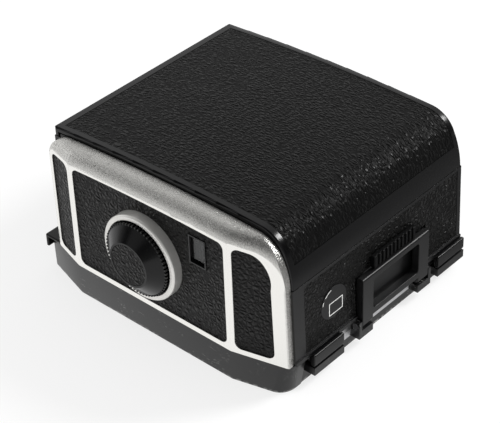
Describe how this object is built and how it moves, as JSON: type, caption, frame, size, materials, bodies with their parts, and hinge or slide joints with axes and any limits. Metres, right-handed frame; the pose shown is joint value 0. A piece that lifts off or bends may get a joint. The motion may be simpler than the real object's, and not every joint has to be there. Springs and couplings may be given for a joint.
{
  "type": "roll film magazine",
  "caption": "Interchangeable roll-film magazine with hinged back, winding knob, frame counter, dark slide and release lever.",
  "frame": {"origin": "centre of the light opening, in the plane of the mating face", "axes": "+Z from the mating face to the back cover, +X to the wall with the release lever, the winding knob faces -Y"},
  "size_m": [0.1143, 0.1129, 0.0617],
  "materials": {
    "satin_black": "satin black enamel on a light alloy casting, fine wear",
    "casing_black": "satin black enamel on a light alloy casting",
    "gloss_black": "gloss black enamel on light alloy",
    "lever_black": "satin black enamel",
    "satin_aluminium": "blasted satin face with bright edges",
    "side_leather": "coarse pebbled black",
    "cover_leather": "fine pebbled black",
    "grey_plate": "dark grey, lightly satin",
    "window_glass": "clear polished",
    "dark_steel": "blackened steel",
    "steel": "brushed",
    "spring_steel": "polished strip",
    "roller_aluminium": "turned",
    "matte_black": "matte black",
    "brass": "machined",
    "dial_black": "black anodised",
    "black_plastic": "moulded",
    "felt": "black felt"
  },
  "bodies": {
    "shell": {"base_frame": "satin_black", "casing": "casing_black", "near_trim": "satin_aluminium", "near_leather_left": "side_leather", "near_leather_centre": "side_leather", "near_leather_right": "side_leather", "far_leather": "side_leather", "label_leather": "side_leather", "hinge_wall_leather": "side_leather", "format_disc": "grey_plate", "counter_window_frame": "gloss_black", "counter_window_glass": "window_glass", "knob_ring": "satin_aluminium", "near_claw": "gloss_black", "far_claw": "gloss_black", "near_lug": "gloss_black", "far_lug": "gloss_black", "keeper_strip": "steel", "gate_plate": "matte_black", "near_side_plate": "matte_black", "far_side_plate": "matte_black", "tie_rods": "steel", "pressure_bridge": "steel", "pressure_springs": "spring_steel", "cover_hinge_pin": "dark_steel", "casing_screws": "dark_steel", "slot_seal": "felt", "counter_studs": "steel", "supply_stub": "steel"},
    "cover": {"back_cover": "gloss_black", "cover_leather": "cover_leather", "cover_hooks": "steel"},
    "knob": {"winding_knob": "gloss_black", "knob_leather": "side_leather", "knob_shaft": "steel", "knob_gear": "brass"},
    "take_up": {"take_up_shaft": "steel", "take_up_gear": "brass", "take_up_spool": "black_plastic"},
    "idler": {"counter_idler": "brass"},
    "dial": {"counter_dial": "dial_black"},
    "supply_side_roller": {"supply_roller": "roller_aluminium"},
    "take_up_side_roller": {"take_up_roller": "roller_aluminium"},
    "lever": {"release_lever": "lever_black", "lever_pins": "dark_steel"},
    "latch": {"latch_bar": "steel"},
    "catch": {"cover_catch": "gloss_black", "catch_plate": "steel"},
    "plate": {"pressure_plate": "matte_black"},
    "slide": {"dark_slide": "steel", "slide_handle": "satin_black"},
    "supply_pin": {"supply_pivot": "steel"},
    "take_up_pin": {"take_up_pivot": "steel"}
  },
  "joints": [
    {"name": "cover_hinge", "type": "hinge", "parent": "shell", "child": "cover", "pos_m": [-0.0538, 0, 0.0546], "axis": [0, -1, 0], "range_deg": [0, 110]},
    {"name": "knob_turn", "type": "hinge", "parent": "shell", "child": "knob", "pos_m": [-0.0042, -0.05, 0.0337], "axis": [0, 1, 0], "continuous": true},
    {"name": "take_up_turn", "type": "hinge", "parent": "shell", "child": "take_up", "pos_m": [0.0238, -0.035, 0.0337], "axis": [0, 1, 0], "continuous": true},
    {"name": "idler_turn", "type": "hinge", "parent": "shell", "child": "idler", "pos_m": [0.01637, -0.045, 0.02428], "axis": [0, 1, 0], "continuous": true},
    {"name": "dial_turn", "type": "hinge", "parent": "shell", "child": "dial", "pos_m": [0.01228, -0.047, 0.03871], "axis": [0, 1, 0], "continuous": true},
    {"name": "supply_roller_turn", "type": "hinge", "parent": "shell", "child": "supply_side_roller", "pos_m": [-0.031, 0, 0.0123], "axis": [0, 1, 0], "continuous": true},
    {"name": "take_up_roller_turn", "type": "hinge", "parent": "shell", "child": "take_up_side_roller", "pos_m": [0.031, 0, 0.0123], "axis": [0, 1, 0], "continuous": true},
    {"name": "lever_swing", "type": "hinge", "parent": "shell", "child": "lever", "pos_m": [0.0535, 0.00525, 0.0099], "axis": [0, 1, 0], "range_deg": [0, 75]},
    {"name": "latch_travel", "type": "slide", "parent": "shell", "child": "latch", "axis": [0, 1, 0], "range_m": [0, 0.003]},
    {"name": "catch_travel", "type": "slide", "parent": "shell", "child": "catch", "axis": [0, 1, 0], "range_m": [0, 0.004], "stiffness_N_per_m": 200, "springref_m": -0.002},
    {"name": "pressure_plate_travel", "type": "slide", "parent": "shell", "child": "plate", "axis": [0, 0, 1], "range_m": [0, 0.001], "stiffness_N_per_m": 800, "springref_m": -0.001, "deforming": ["pressure_springs"]},
    {"name": "dark_slide_travel", "type": "slide", "parent": "shell", "child": "slide", "axis": [0, 1, 0], "range_m": [0, 0.07]},
    {"name": "supply_pivot_travel", "type": "slide", "parent": "shell", "child": "supply_pin", "axis": [0, 1, 0], "range_m": [0, 0.003], "stiffness_N_per_m": 300, "springref_m": -0.001},
    {"name": "take_up_pivot_travel", "type": "slide", "parent": "shell", "child": "take_up_pin", "axis": [0, 1, 0], "range_m": [0, 0.003], "stiffness_N_per_m": 300, "springref_m": -0.001}
  ],
  "couplings": [
    {"joint": "take_up_turn", "follows": "knob_turn", "ratio": -1},
    {"joint": "idler_turn", "follows": "knob_turn", "ratio": 0.33333},
    {"joint": "dial_turn", "follows": "knob_turn", "ratio": -0.083333},
    {"joint": "latch_travel", "follows": "lever_swing", "m_per_rad": 0.00229}
  ]
}
